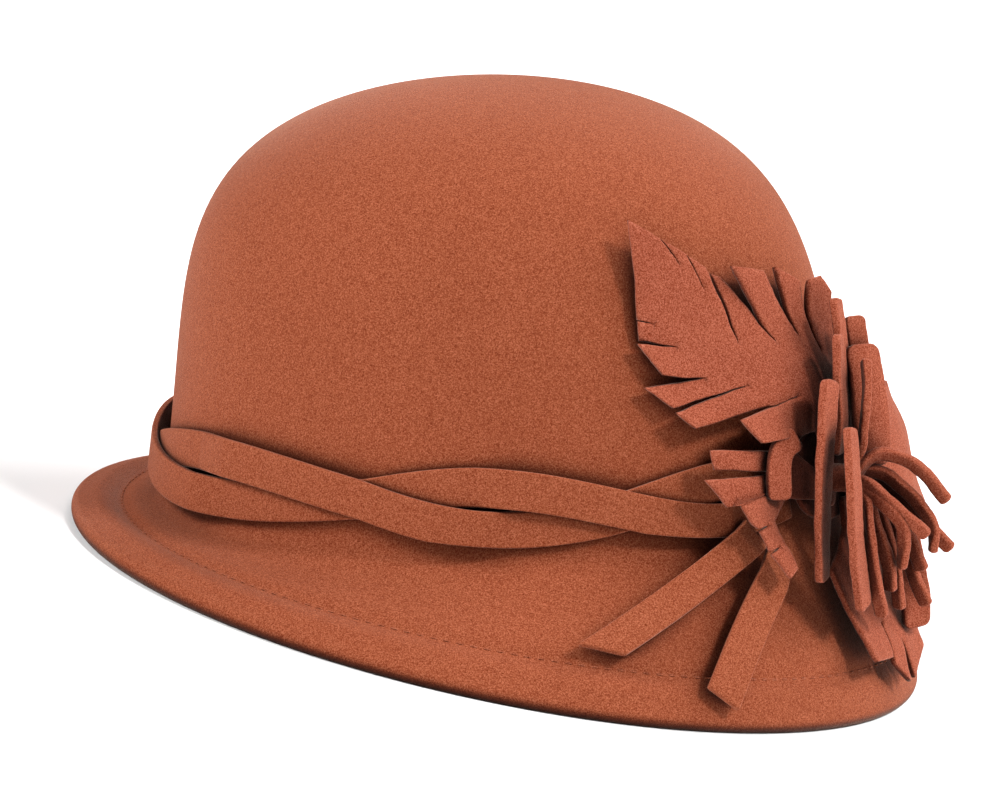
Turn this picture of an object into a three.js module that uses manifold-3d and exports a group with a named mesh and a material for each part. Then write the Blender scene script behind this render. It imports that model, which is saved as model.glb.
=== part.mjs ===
// A felt cloche hat: a rounded crown blocked in one piece with a short down-turned brim, a pair
// of twisted felt bands, two slanted tails and a fringed felt flower with leaves on the wearer's
// side. Millimetres, +Z up. The origin is the middle of the ring that the hem rests on, -X is
// the front of the hat (over the face) and -Y is the side that the flower is sewn towards.
import * as THREE from 'three';
import { TessellateModifier } from 'three/addons/modifiers/TessellateModifier.js';
import { mergeVertices } from 'three/addons/utils/BufferGeometryUtils.js';
import Module from 'manifold-3d';

const manifold = await Module();
manifold.setup();

// ---- Driving dimensions ----

const HAT_FELT = 2.2;      // thickness of the crown and brim felt
const TRIM_FELT = 2.0;     // thickness of the bands, tails and leaves
const PETAL_FELT = 2.4;    // thickness of the petals and the fringe
const GAP = 0.3;           // clearance between two pieces that touch
const ROUND = 60;          // steps around the hat

// The crown is a blocked dome, tipped forward over the brim.
const CROWN = {
  halfLength: 100, halfWidth: 87, height: 115.2,
  tuck: 0.19, swell: 0.57,           // how its side draws in above the base, then swells
  tipShift: -5.4, lean: degrees(13.1),
  baseX: -3.7, baseZ: 36.6,
  arc: 165,                          // felt length from the base ring to the tip
};

// The brim leaves the crown's side and flattens out to the hem. The handles are shares of the
// distance between them, and ease sets how the slope grows from the front to the back.
const BRIM = {
  crownHandle: 0.30, hemHandle: 0.42,
  frontSlope: degrees(18), backSlope: degrees(68), ease: 0.8,
};

// The brim's edge is rolled under around a wire. The ring is the middle of that roll.
const HEM = {
  halfLength: 123.2, halfWidth: 116, radius: 3, press: 0.4,
  turnUnder: 11.5, slot: 0.4, wireRadius: 0.5,
};

const STITCHES = { fromEdge: 10, halfWidth: 0.4, height: 0.6 };
const SWEATBAND = { bottom: 2, top: 28, thickness: 0.9 };

// Two strips lie around the crown's base and cross over each other at these angles. Their ends
// are tucked under the flower's backing.
const BAND = {
  width: 10, height: 7.8, wave: 2.7, halfSpread: 5.4,
  offset: 3.1, overUnder: 1.25, swap: degrees(12),
  start: degrees(-37), end: degrees(-385), steps: 96,
  crossings: [-401, -359, -305, -261, -218, -175, -111, -68.5, -29, 13].map(degrees),
};

// Flat felt outlines are drawn as u millimetres around the hat and g up it. u = 0 runs up the
// hat at this angle, and the radii turn u into an angle on the crown and on the brim.
const FLAT = { angle: degrees(-25), radius: 92, crownTaper: 0.2, brimFlare: 0.42 };

// The flower's middle, its backing disc, and the roll of felt that stands on the leaves.
const FLOWER = { u: -8, g: 6, backingRadius: 13, backingLift: 5.7 };
const CORE = { u: -12, g: 6, bottom: 13, top: 22, radius: 5 };

// ---- The hat's form: a height g along the felt and an angle theta give a point ----

function degrees(value) {
  return value * Math.PI / 180;
}

function mix(a, b, t) {
  return a + (b - a) * t;
}

function smooth(from, to, value) {
  return THREE.MathUtils.smoothstep(value, from, to);
}

// A point of the dome at latitude alpha (0 at the base ring, 90 degrees at the tip).
function crownPoint(alpha, theta) {
  const rise = Math.sin(alpha);
  const girth = Math.cos(alpha) * (1 - CROWN.tuck * rise + CROWN.swell * rise * rise);
  const x = CROWN.halfLength * girth * Math.cos(theta) + CROWN.tipShift * rise * rise;
  const y = CROWN.halfWidth * girth * Math.sin(theta);
  const z = CROWN.height * rise;
  return new THREE.Vector3(
    CROWN.baseX + x * Math.cos(CROWN.lean) - z * Math.sin(CROWN.lean),
    y,
    CROWN.baseZ + x * Math.sin(CROWN.lean) + z * Math.cos(CROWN.lean),
  );
}

// The middle of the hem roll, with the brim's up-slope direction and outward normal there.
function hemFrame(theta) {
  const backward = Math.pow((1 + Math.cos(theta)) / 2, BRIM.ease);
  const slope = mix(BRIM.frontSlope, BRIM.backSlope, backward);
  const outward = new THREE.Vector3(
    Math.cos(theta) * HEM.halfWidth, Math.sin(theta) * HEM.halfLength, 0).normalize();
  const centre = new THREE.Vector3(
    HEM.halfLength * Math.cos(theta), HEM.halfWidth * Math.sin(theta), HEM.radius - HEM.press);
  const upSlope = outward.clone().multiplyScalar(-Math.cos(slope)).setZ(Math.sin(slope));
  const normal = outward.clone().multiplyScalar(Math.sin(slope)).setZ(Math.cos(slope));
  return { centre, upSlope, normal };
}

// The brim at one angle, from the crown's base ring to the top of the hem roll.
function brimCurve(theta) {
  const base = crownPoint(0, theta);
  const down = base.clone().sub(crownPoint(0.001, theta)).normalize();
  const hem = hemFrame(theta);
  const edge = hem.centre.clone().addScaledVector(hem.normal, HEM.radius);
  const span = edge.distanceTo(base);
  return new THREE.CubicBezierCurve3(
    base,
    base.clone().addScaledVector(down, BRIM.crownHandle * span),
    edge.clone().addScaledVector(hem.upSlope, BRIM.hemHandle * span),
    edge,
  );
}

function brimLength(theta) {
  const curve = brimCurve(theta);
  curve.arcLengthDivisions = 24;
  return curve.getLength();
}

// g is in millimetres of felt: up the crown when positive, down the brim when negative.
function skinPoint(g, theta) {
  if (g >= 0) return crownPoint(Math.min(g / CROWN.arc, 1) * Math.PI / 2, theta);
  return brimCurve(theta).getPoint(Math.min(-g / brimLength(theta), 1));
}

function skinNormal(g, theta) {
  if (g > CROWN.arc - 1) {
    return new THREE.Vector3(-Math.sin(CROWN.lean), 0, Math.cos(CROWN.lean));
  }
  const up = skinPoint(g + 0.1, theta).sub(skinPoint(g - 0.1, theta));
  const around = skinPoint(g, theta + 0.002).sub(skinPoint(g, theta - 0.002));
  return around.cross(up).normalize();
}

function onHat(g, theta, offset) {
  return skinPoint(g, theta).addScaledVector(skinNormal(g, theta), offset);
}

// Flat felt laid on the hat: u millimetres around from the flower's angle, g up the felt.
function layFlat(u, g, offset) {
  const radius = FLAT.radius - (g > 0 ? FLAT.crownTaper : FLAT.brimFlare) * g;
  return onHat(g, FLAT.angle + u / radius, offset);
}

// ---- Ways to build a closed body ----

function moveVertices(geometry, place) {
  const position = geometry.attributes.position;
  for (let i = 0; i < position.count; i++) {
    const p = place(new THREE.Vector3().fromBufferAttribute(position, i), i);
    position.setXYZ(i, p.x, p.y, p.z);
  }
  return geometry;
}

// A lathe whose profile rows are functions of the angle. A row on the axis has onAxis set.
function ringBody(rows, closed) {
  const profile = rows.map((row, j) => new THREE.Vector2(row.onAxis ? 0 : 1 + j, j));
  if (closed) profile.push(profile[0].clone());
  const geometry = new THREE.LatheGeometry(profile, ROUND);
  return moveVertices(geometry, (point, i) => {
    const step = Math.floor(i / profile.length) % ROUND;
    return rows[i % profile.length % rows.length](-2 * Math.PI * step / ROUND);
  });
}

// A strip of felt. place(across, out, along) takes across -0.5..0.5, out 0..1 and along 0..1.
function strip(acrossSteps, alongSteps, place) {
  const geometry = new THREE.BoxGeometry(1, 1, 1, acrossSteps, 1, alongSteps);
  return moveVertices(geometry, (p) => place(p.x, p.y + 0.5, p.z + 0.5));
}

// A flat outline cut from trim felt and bent over the hat. lift(u, g) is its underside's height.
function cutFelt(outline, lift) {
  const shape = new THREE.Shape(outline.map(([u, g]) => new THREE.Vector2(u, g)));
  const flat = new THREE.ExtrudeGeometry(shape, { depth: TRIM_FELT, bevelEnabled: false });
  const longestEdge = 9;
  const passes = 12;
  const fine = new TessellateModifier(longestEdge, passes).modify(flat);
  return moveVertices(fine, (p) => layFlat(p.x, p.y, lift(p.x, p.y) + p.z));
}

// A strip of petal felt along a route through points, rounded at its free ends.
function ribbon({ route, width, across, steps = 12, rootRounded = false }) {
  const curve = new THREE.CatmullRomCurve3(route.map((p) => new THREE.Vector3(...p)));
  const length = curve.getLength();
  const side = new THREE.Vector3(...across);
  return strip(1, steps, (x, y, z) => {
    const centre = curve.getPointAt(z);
    const along = curve.getTangentAt(z);
    const sideways = side.clone().addScaledVector(along, -side.dot(along)).normalize();
    const out = along.clone().cross(sideways);
    const toTip = (1 - z) * length;
    const toEnd = rootRounded ? Math.min(toTip, z * length) : toTip;
    const round = Math.min(toEnd / (width / 2), 1);
    const half = width * Math.max(Math.sqrt(round * (2 - round)), 0.45);
    return centre.addScaledVector(sideways, x * half).addScaledVector(out, (y - 0.5) * PETAL_FELT);
  });
}

// One body from several that run into each other.
function fuse(geometries) {
  const sameVertex = 1e-4;
  const flatness = 0.02;
  const solids = geometries.map((geometry) => {
    geometry.deleteAttribute('normal');
    geometry.deleteAttribute('uv');
    const { attributes, index } = mergeVertices(geometry, sameVertex);
    const corners = [];
    for (let i = 0; i < index.count; i += 3) {
      const [a, b, c] = [0, 1, 2].map((k) => index.array[i + k]);
      if (a !== b && b !== c && c !== a) corners.push(a, b, c);
    }
    return new manifold.Manifold(new manifold.Mesh({
      numProp: 3,
      vertProperties: new Float32Array(attributes.position.array),
      triVerts: new Uint32Array(corners),
    }));
  });
  const whole = manifold.Manifold.union(solids).simplify(flatness).getMesh();
  const geometry = new THREE.BufferGeometry();
  geometry.setAttribute('position', new THREE.BufferAttribute(whole.vertProperties, 3));
  geometry.setIndex(new THREE.BufferAttribute(whole.triVerts, 1));
  geometry.computeVertexNormals();
  return geometry;
}

// ---- Crown, brim and what they hold ----

// The rows of the felt body, from the tip down the outside, round the hem and up the inside.
function feltBody() {
  const rows = [];
  const crownSteps = 13;
  const brimSteps = 6;
  const rollSteps = 7;
  const onCrown = (alpha, offset) => (theta) => {
    return onHat(alpha / 90 * CROWN.arc, theta, offset);
  };
  const onBrim = (part, offset) => (theta) => {
    return onHat(-part * brimLength(theta), theta, offset);
  };
  const fromEdge = (distance, offset) => (theta) => {
    return onHat(distance - brimLength(theta), theta, offset);
  };
  const onRoll = (turn, radius) => (theta) => {
    const { centre, upSlope, normal } = hemFrame(theta);
    const point = centre.addScaledVector(normal, radius * Math.cos(turn));
    point.addScaledVector(upSlope, -radius * Math.sin(turn));
    return point.setZ(Math.max(point.z, 0));
  };

  const outerTip = onCrown(90, 0);
  outerTip.onAxis = true;
  rows.push(outerTip);
  for (let i = 1; i <= crownSteps; i++) rows.push(onCrown(90 - 90 * i / crownSteps, 0));
  for (let i = 1; i < brimSteps; i++) rows.push(onBrim(i / brimSteps, 0));
  for (let i = 0; i <= rollSteps; i++) rows.push(onRoll(Math.PI * i / rollSteps, HEM.radius));

  rows.push(fromEdge(HEM.turnUnder / 2, -2 * (HAT_FELT + HEM.slot)));
  rows.push(fromEdge(HEM.turnUnder, -(2 * HAT_FELT + HEM.slot)));
  rows.push(fromEdge(HEM.turnUnder, -(HAT_FELT + HEM.slot)));
  rows.push(fromEdge(HEM.turnUnder / 2, -(HAT_FELT + 2 * HEM.slot)));
  for (let i = 3; i >= 0; i--) rows.push(onRoll(Math.PI * i / 3, HEM.radius - HAT_FELT));
  rows.push(fromEdge(HEM.turnUnder / 2, -HAT_FELT));
  rows.push(fromEdge(HEM.turnUnder, -HAT_FELT));
  for (let i = brimSteps - 2; i >= 1; i--) rows.push(onBrim(i / brimSteps, -HAT_FELT));
  for (let i = crownSteps; i >= 1; i--) rows.push(onCrown(90 - 90 * i / crownSteps, -HAT_FELT));
  const innerTip = onCrown(90, -HAT_FELT);
  innerTip.onAxis = true;
  rows.push(innerTip);
  return ringBody(rows, false);
}

// The wire that stiffens the hem lies loose in the middle of the roll.
function brimWire() {
  const sides = 6;
  const rows = Array.from({ length: sides }, (_, i) => (theta) => {
    const { centre, upSlope, normal } = hemFrame(theta);
    const turn = 2 * Math.PI * i / sides;
    centre.addScaledVector(normal, HEM.wireRadius * Math.cos(turn));
    return centre.addScaledVector(upSlope, -HEM.wireRadius * Math.sin(turn));
  });
  return ringBody(rows, true);
}

// The row of stitches that holds the turned hem, as one cord lying on the felt.
function hemThread() {
  const low = GAP;
  const high = GAP + STITCHES.height;
  const half = STITCHES.halfWidth;
  const at = (across, offset) => (theta) => {
    return onHat(STITCHES.fromEdge + across - brimLength(theta), theta, offset);
  };
  return ringBody([at(half, low), at(half, high), at(-half, high), at(-half, low)], true);
}

function sweatband() {
  const outer = -(HAT_FELT + GAP);
  const inner = outer - SWEATBAND.thickness;
  const middle = (SWEATBAND.bottom + SWEATBAND.top) / 2;
  const at = (g, offset) => (theta) => onHat(g, theta, offset);
  return ringBody([
    at(SWEATBAND.top, outer), at(middle, outer), at(SWEATBAND.bottom, outer),
    at(SWEATBAND.bottom, inner), at(middle, inner), at(SWEATBAND.top, inner),
  ], true);
}

// ---- Twisted bands ----

// The phase grows by half a turn from each crossing of the two strips to the next.
function bandPhase(theta) {
  const marks = BAND.crossings;
  let i = 0;
  while (i < marks.length - 2 && theta > marks[i + 1]) i++;
  return Math.PI * (i + (theta - marks[i]) / (marks[i + 1] - marks[i]));
}

// sign is +1 for strip a and -1 for strip b. They trade places over and under each other where
// they are furthest apart, so that they never meet.
function bandStrip(sign) {
  return strip(1, BAND.steps, (x, y, z) => {
    const theta = mix(BAND.end, BAND.start, z);
    const phase = bandPhase(theta);
    const middle = BAND.height + BAND.wave * Math.sin(2 * theta);
    const g = middle - sign * BAND.halfSpread * Math.sin(phase) + x * BAND.width;
    const fromSwap = Math.PI / 2 - Math.acos(Math.cos(phase));
    const over = THREE.MathUtils.clamp(fromSwap / BAND.swap, -1, 1);
    const centre = BAND.offset + sign * BAND.overUnder * over;
    return onHat(g, theta, centre + (y - 0.5) * TRIM_FELT);
  });
}

// A tail is a slanted strip on the brim. Corners are [theta in degrees, g]: two at the root,
// two at the tip, and bow moves the middle of the strip sideways.
const TAILS = {
  tail_long: { root: [[-51.6, -3], [-48.4, -13.8]], tip: [[-78, -37], [-71.6, -40]], bow: 0 },
  tail_short: { root: [[-48.4, -18], [-45, -27]], tip: [[-60.5, -49], [-56.4, -54.8]], bow: -0.6 },
};
const TAIL_LIFT = { root: 5.9, tip: 3.4 };

function tail({ root, tip, bow }) {
  return strip(2, 12, (x, y, z) => {
    const side = x + 0.5;
    const at = (i) => mix(mix(root[0][i], root[1][i], side), mix(tip[0][i], tip[1][i], side), z);
    const theta = degrees(at(0) + bow * Math.sin(Math.PI * z));
    return onHat(at(1), theta, mix(TAIL_LIFT.root, TAIL_LIFT.tip, z) + y * TRIM_FELT);
  });
}

// ---- Flower ----

// Felt outlines as [u, g] points, cut with slanted fingers down to narrow slits.
const LEAVES = {
  leaf_upper: {
    lift: { root: 10.4, edge: 1.4, near: 18, far: 46 },
    outline: [
      [-46.6, 84.4], [-53.2, 60.7], [-55.7, 49.4], [-46.2, 46.6], [-56.4, 48.5], [-52, 39.5],
      [-46, 38.2], [-40.5, 37.4], [-57.6, 36.6], [-51.4, 30.6], [-29.8, 34], [-50.8, 29.4],
      [-46.2, 24.5], [-35, 26.8], [-18, 28.8], [-34.8, 25.4], [-31.4, 19], [-14, 19], [-6, 2],
      [4, 6], [10.5, 31], [17, 50], [12, 57], [9, 55.5], [7, 33.5],
      [3.5, 57.5], [-6, 63.5], [-4.5, 43.5], [-12.6, 63], [-23, 66], [-15.5, 43],
      [-24.4, 65.5], [-29.6, 67], [-27.8, 45], [-31, 67.4],
    ],
  },
  leaf_left: {
    lift: { root: 8, edge: 12.5, near: 18, far: 38 },
    outline: [
      [-7, 3], [-22, 15.5], [-48.7, 19.9], [-48.8, 14.8], [-26.1, 10.5], [-51.9, 12.6],
      [-47.5, 5.1], [-27.2, 7], [-45.1, 5.7], [-41.4, -3.1], [-36.6, -2], [-41.1, -4.3],
      [-41, -14.3], [-36.7, -12.9], [-40.7, -15.3], [-38, -24.8], [-9.8, -9.2],
    ],
  },
  leaf_right: {
    lift: { root: 12.8, edge: 15.7, near: 16, far: 40, droop: 3.2 },
    outline: [
      [-3, 9], [8, 19], [24, 22], [42, 20.5], [56, 13], [50, 8], [60, 9], [67, 0], [52, -1],
      [65, -3], [60, -12], [46, -9], [57, -14], [48, -21], [36, -16], [44, -23], [32, -24],
      [22, -14], [8, -5], [-3, 2],
    ],
  },
  leaf_lower: {
    lift: { root: 8, edge: 5, near: 20, far: 50 },
    outline: [
      [-5, 0], [-7, -11], [-13, -18.5], [-18.5, -24], [-9.3, -50.9], [0.1, -51.4], [-1.4, -42],
      [0.1, -53.2], [7.4, -58.6], [7.8, -48.1], [11, -58.3], [24.9, -53.5], [17.4, -23], [8, 0],
    ],
  },
};

// A leaf's underside is at the root height near the flower's middle and at the edge height far
// from it. Its upper edge may droop.
function leaf({ outline, lift }) {
  return cutFelt(outline, (u, g) => {
    const distance = Math.hypot(u - FLOWER.u, g - FLOWER.g);
    const droop = (lift.droop ?? 0) * smooth(10, 28, u) * smooth(6, 20, g);
    return mix(lift.root, lift.edge, smooth(lift.near, lift.far, distance)) - droop;
  });
}

function flowerBacking() {
  const steps = 20;
  const outline = Array.from({ length: steps }, (_, i) => {
    const turn = 2 * Math.PI * i / steps;
    return [
      FLOWER.u + FLOWER.backingRadius * Math.cos(turn),
      FLOWER.g + FLOWER.backingRadius * Math.sin(turn),
    ];
  });
  return cutFelt(outline, () => FLOWER.backingLift);
}

function flowerCore() {
  const base = layFlat(CORE.u, CORE.g, CORE.bottom);
  const end = layFlat(CORE.u, CORE.g, CORE.top);
  const height = base.distanceTo(end);
  const profile = [[0, 0], [1, 0], [1, 0.85], [0.8, 1], [0, 1]]
    .map(([r, z]) => new THREE.Vector2(r * CORE.radius, z * height));
  const geometry = new THREE.LatheGeometry(profile, 16);
  const turn = new THREE.Quaternion().setFromUnitVectors(
    new THREE.Vector3(0, 1, 0), end.clone().sub(base).normalize());
  return moveVertices(geometry, (p) => p.applyQuaternion(turn).add(base));
}

// Felt petals. Each route is the middle of a strip, and across is the way its width runs. The
// first two are sewn on at their middles, and the others at their first point.
const PETALS = [
  { route: [[78, -61, 95], [80, -65.8, 81], [83.2, -68, 62], [88, -67, 40]], width: 8.4,
    across: [0.4, 0.92, 0], steps: 16, rootRounded: true },
  { route: [[86, -65.5, 84], [90, -70.5, 70], [95, -70.5, 52], [101, -66.5, 35]], width: 8,
    across: [0.35, 0.94, 0], steps: 16, rootRounded: true },
  { route: [[87.2, -50.7, 73.4], [84.7, -48.3, 84], [80.7, -44.4, 100], [75.8, -39.9, 114]], width: 6,
    across: [0.35, 0.94, 0] },
  { route: [[94, -44, 74.8], [90.6, -41.2, 86], [86.4, -37.4, 98], [82, -34, 109]], width: 7,
    across: [0.85, 0.52, 0] },
  { route: [[85, -56.5, 74], [84, -56.5, 83], [81, -54, 94], [78, -51, 106]], width: 6,
    across: [0.3, 0.95, 0] },
  { route: [[96.3, -49.6, 71.5], [94.3, -47.5, 81], [90.4, -44.1, 93], [86, -40.4, 103]], width: 10.5,
    across: [0.85, 0.52, 0] },
  { route: [[102.5, -41.4, 64.1], [110.4, -39.9, 50.1], [116.2, -38.4, 36.5],
    [119.2, -37.2, 25.5]], width: 9, across: [0.85, 0.5, 0.1] },
  { route: [[72.3, -64.4, 78], [69.3, -68.4, 75], [69, -71, 70], [71, -72, 61]], width: 7.4,
    across: [0.8, 0.5, 0] },
];

// The flower's heart is a strip cut into a fringe and rolled up: a core with curling fingers.
const FINGER = { width: 4, across: [0, -0.4, 0.92], steps: 10 };
const FINGERS = [
  [[90, -58, 69], [91, -57.5, 76], [90.5, -57, 82], [89, -54.5, 93], [87, -51, 101]],
  [[91, -59, 69], [93, -58, 74], [96, -57, 76.6], [100, -56, 76.8], [105, -55, 76],
    [110, -55, 73.4], [118, -55, 67]],
  [[90, -57, 68], [94, -56, 71], [99, -55, 71], [105, -55, 68], [111, -55, 64], [116, -55, 58],
    [117, -55, 52]],
  [[90, -55, 68], [96, -51, 69], [103, -48, 66], [111, -47, 61], [117, -47, 56], [123, -47, 52]],
  [[90, -61, 68], [94, -63, 69], [100, -64, 66], [107, -64, 62], [114, -63, 58]],
  [[90, -61, 68], [96, -63, 66], [101, -64, 64], [106, -64, 60], [108, -63, 55], [109, -61, 47]],
  [[90, -57, 68], [97, -54, 66], [105, -52, 60], [110, -51, 54], [116, -50, 45]],
  [[90, -56, 67], [97, -52, 63], [104, -48, 56], [110, -46, 49], [115, -45, 41], [120, -44, 34]],
  [[90, -60, 67], [95, -63, 64], [98, -65, 55], [102, -64, 44], [107, -61, 32]],
  [[90, -59, 67], [96, -60, 63], [100, -60, 56], [105, -59, 48], [108, -57, 39]],
  [[90, -57, 67], [97, -56, 63], [103, -54, 55], [108, -53, 45], [112, -51, 33]],
];

function flowerFringe() {
  return fuse([flowerCore(), ...FINGERS.map((route) => ribbon({ route, ...FINGER }))]);
}

// ---- Assembly ----

const COLOR = {
  hat: 0xa75839, band: 0xa75a3b, flower: 0xb75f46,
  thread: 0x8f4a30, sweatband: 0x5a2c1c, wire: 0x9a9a9a,
};

function felt(color) {
  return new THREE.MeshStandardMaterial({ color, roughness: 0.95, metalness: 0 });
}

const hat = new THREE.Group();

function add(name, geometry, material) {
  const mesh = new THREE.Mesh(geometry, material);
  mesh.name = name;
  hat.add(mesh);
}

add('felt_body', feltBody(), felt(COLOR.hat));
add('brim_wire', brimWire(),
  new THREE.MeshStandardMaterial({ color: COLOR.wire, roughness: 0.35, metalness: 1 }));
add('hem_thread', hemThread(), felt(COLOR.thread));
add('sweatband', sweatband(), felt(COLOR.sweatband));
add('band_strip_a', bandStrip(1), felt(COLOR.band));
add('band_strip_b', bandStrip(-1), felt(COLOR.band));
for (const [name, corners] of Object.entries(TAILS)) add(name, tail(corners), felt(COLOR.band));
add('flower_backing', flowerBacking(), felt(COLOR.flower));
for (const [name, shape] of Object.entries(LEAVES)) add(name, leaf(shape), felt(COLOR.flower));
add('flower_fringe', flowerFringe(), felt(COLOR.flower));
PETALS.forEach((petal, i) => add(`petal_0${i + 1}`, ribbon(petal), felt(COLOR.flower)));

export default hat;
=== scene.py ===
import math

import bmesh
import bpy
import numpy as np
from mathutils import Matrix, Vector
from mathutils.geometry import delaunay_2d_cdt
from mathutils.noise import noise_vector, seed_set


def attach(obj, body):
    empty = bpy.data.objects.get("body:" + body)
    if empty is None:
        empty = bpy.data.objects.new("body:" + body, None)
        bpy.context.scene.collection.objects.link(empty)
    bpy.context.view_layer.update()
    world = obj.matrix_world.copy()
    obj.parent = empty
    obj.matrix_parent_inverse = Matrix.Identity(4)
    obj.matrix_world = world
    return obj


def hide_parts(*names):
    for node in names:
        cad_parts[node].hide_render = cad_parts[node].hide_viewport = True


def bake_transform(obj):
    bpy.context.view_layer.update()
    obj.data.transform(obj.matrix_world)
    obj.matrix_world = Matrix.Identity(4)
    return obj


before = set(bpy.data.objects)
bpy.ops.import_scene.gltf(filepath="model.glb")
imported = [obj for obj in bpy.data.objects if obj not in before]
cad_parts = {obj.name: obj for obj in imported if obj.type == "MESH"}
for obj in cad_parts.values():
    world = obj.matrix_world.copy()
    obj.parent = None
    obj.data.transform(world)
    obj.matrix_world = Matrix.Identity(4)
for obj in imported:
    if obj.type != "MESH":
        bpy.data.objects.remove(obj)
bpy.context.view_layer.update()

MM = 0.001
WELD = 2e-6             # metres between points that are one
TAU = 2 * math.pi
CUT_SEED = 7            # the same uneven cuts every time

# ---- Driving dimensions, the same as the part's ----

HAT_FELT = 2.2      # thickness of the hood
TRIM_FELT = 2.0     # thickness of the bands, tails and leaves
PETAL_FELT = 2.4    # thickness of the petals and the fringe
GAP = 0.3           # clearance between pieces that are sewn together
CROWN = dict(half_length=100, half_width=87, height=115.2, tuck=0.19, swell=0.57,
             tip_shift=-5.4, lean=math.radians(13.1), base_x=-3.7, base_z=36.6, arc=165)
BRIM = dict(crown_handle=0.30, hem_handle=0.42, front_slope=math.radians(18),
            back_slope=math.radians(68), ease=0.8)
HEM = dict(half_length=123.2, half_width=116, radius=3, press=0.4, turn_under=11.5, slot=0.4)
SEAM = dict(from_edge=10, sunk=0.9, raised=0.55, crest=4.4, width=2.1)
STITCH = dict(count=190, sides=6, half_length=1.35, stands=0.06, ends_sink=0.4, radius=0.22)
SWEATBAND = dict(bottom=2, top=28, thickness=0.9, rib_pitch=420)
BAND = dict(width=10, height=7.8, wave=2.7, half_spread=5.4, offset=3.1, over_under=1.25,
            swap=math.radians(12), start=math.radians(-37), end=math.radians(-385))
CROSSINGS = np.radians([-401, -359, -305, -261, -218, -175, -111, -68.5, -29, 13])
FLAT = dict(angle=math.radians(-25), radius=92, crown_taper=0.2, brim_flare=0.42)
FLOWER = dict(u=-8, g=6, backing_radius=13, backing_lift=5.7)
CORE = dict(u=-12, g=6, bottom=13, top=22, radius=5)


# ---- The hat's form: g mm up the felt and an angle theta give a point ----

def unit(v):
    return v / np.linalg.norm(v, axis=-1, keepdims=True)


def smooth(low, high, value):
    t = np.clip((value - low) / (high - low), 0, 1)
    return t * t * (3 - 2 * t)


def mix(a, b, t):
    return a + (b - a) * t


def run_of(points):
    """The length along a row of points, up to each of them."""
    return np.concatenate([[0], np.cumsum(np.linalg.norm(np.diff(points, axis=0), axis=1))])


def crown_point(alpha, theta):
    rise = np.sin(alpha)
    girth = np.cos(alpha) * (1 - CROWN["tuck"] * rise + CROWN["swell"] * rise ** 2)
    x = CROWN["half_length"] * girth * np.cos(theta) + CROWN["tip_shift"] * rise ** 2
    y = CROWN["half_width"] * girth * np.sin(theta)
    z = CROWN["height"] * rise
    c, s = math.cos(CROWN["lean"]), math.sin(CROWN["lean"])
    return np.stack([CROWN["base_x"] + x * c - z * s, y, CROWN["base_z"] + x * s + z * c], -1)


def hem_frame(theta):
    """Middle of the hem roll, the brim's up-slope direction and its outward normal."""
    c, s = np.cos(theta), np.sin(theta)
    backward = ((1 + c) / 2) ** BRIM["ease"]
    slope = mix(BRIM["front_slope"], BRIM["back_slope"], backward)[..., None]
    outward = unit(np.stack([c * HEM["half_width"], s * HEM["half_length"], 0 * c], -1))
    up = np.array([0.0, 0.0, 1.0])
    centre = np.stack([HEM["half_length"] * c, HEM["half_width"] * s,
                       0 * c + HEM["radius"] - HEM["press"]], -1)
    return (centre, -outward * np.cos(slope) + up * np.sin(slope),
            outward * np.sin(slope) + up * np.cos(slope))


def brim_point(t, theta):
    base = crown_point(0 * theta, theta)
    down = unit(base - crown_point(0 * theta + 0.001, theta))
    centre, up_slope, normal = hem_frame(theta)
    edge = centre + normal * HEM["radius"]
    span = np.linalg.norm(edge - base, axis=-1, keepdims=True)
    a = base + down * BRIM["crown_handle"] * span
    b = edge + up_slope * BRIM["hem_handle"] * span
    t = t[..., None]
    r = 1 - t
    return r ** 3 * base + 3 * r * r * t * a + 3 * r * t * t * b + t ** 3 * edge


def measure_brim(steps=24, angles=720):
    theta = np.linspace(0, TAU, angles + 1)
    points = np.stack([brim_point(0 * theta + i / steps, theta) for i in range(steps + 1)])
    return theta, np.linalg.norm(np.diff(points, axis=0), axis=-1).sum(0)


BRIM_ANGLES, BRIM_LENGTHS = measure_brim()


def brim_length(theta):
    return np.interp(np.mod(theta, TAU), BRIM_ANGLES, BRIM_LENGTHS)


def skin_point(g, theta):
    g, theta = np.broadcast_arrays(np.asarray(g, float), np.asarray(theta, float))
    crown = crown_point(np.clip(g / CROWN["arc"], 0, 1) * math.pi / 2, theta)
    brim = brim_point(np.clip(-g / brim_length(theta), 0, 1), theta)
    return np.where((g >= 0)[..., None], crown, brim)


def skin_normal(g, theta):
    g, theta = np.broadcast_arrays(np.asarray(g, float), np.asarray(theta, float))
    at = np.minimum(g, CROWN["arc"] - 1)
    up = skin_point(at + 0.1, theta) - skin_point(at - 0.1, theta)
    around = skin_point(at, theta + 0.002) - skin_point(at, theta - 0.002)
    side = unit(np.cross(around, up))
    tip = np.array([-math.sin(CROWN["lean"]), 0, math.cos(CROWN["lean"])])
    return np.where((g > CROWN["arc"] - 1)[..., None], tip, side)


def on_hat(g, theta, offset):
    return skin_point(g, theta) + skin_normal(g, theta) * np.asarray(offset, float)[..., None]


def lay_flat(u, g, offset):
    radius = FLAT["radius"] - np.where(g > 0, FLAT["crown_taper"], FLAT["brim_flare"]) * g
    return on_hat(g, FLAT["angle"] + u / radius, offset)


# ---- Making meshes ----

def uneven(points):
    """Hand-cut felt is never quite straight: a slow wave and a fine one, in millimetres."""
    amount, slow, fine = 0.28, 0.16, 0.9
    moved = []
    for p in points:
        at = Vector(p)
        moved.append(at + amount * (noise_vector(at * slow) + 0.4 * noise_vector(at * fine)))
    return moved


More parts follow.
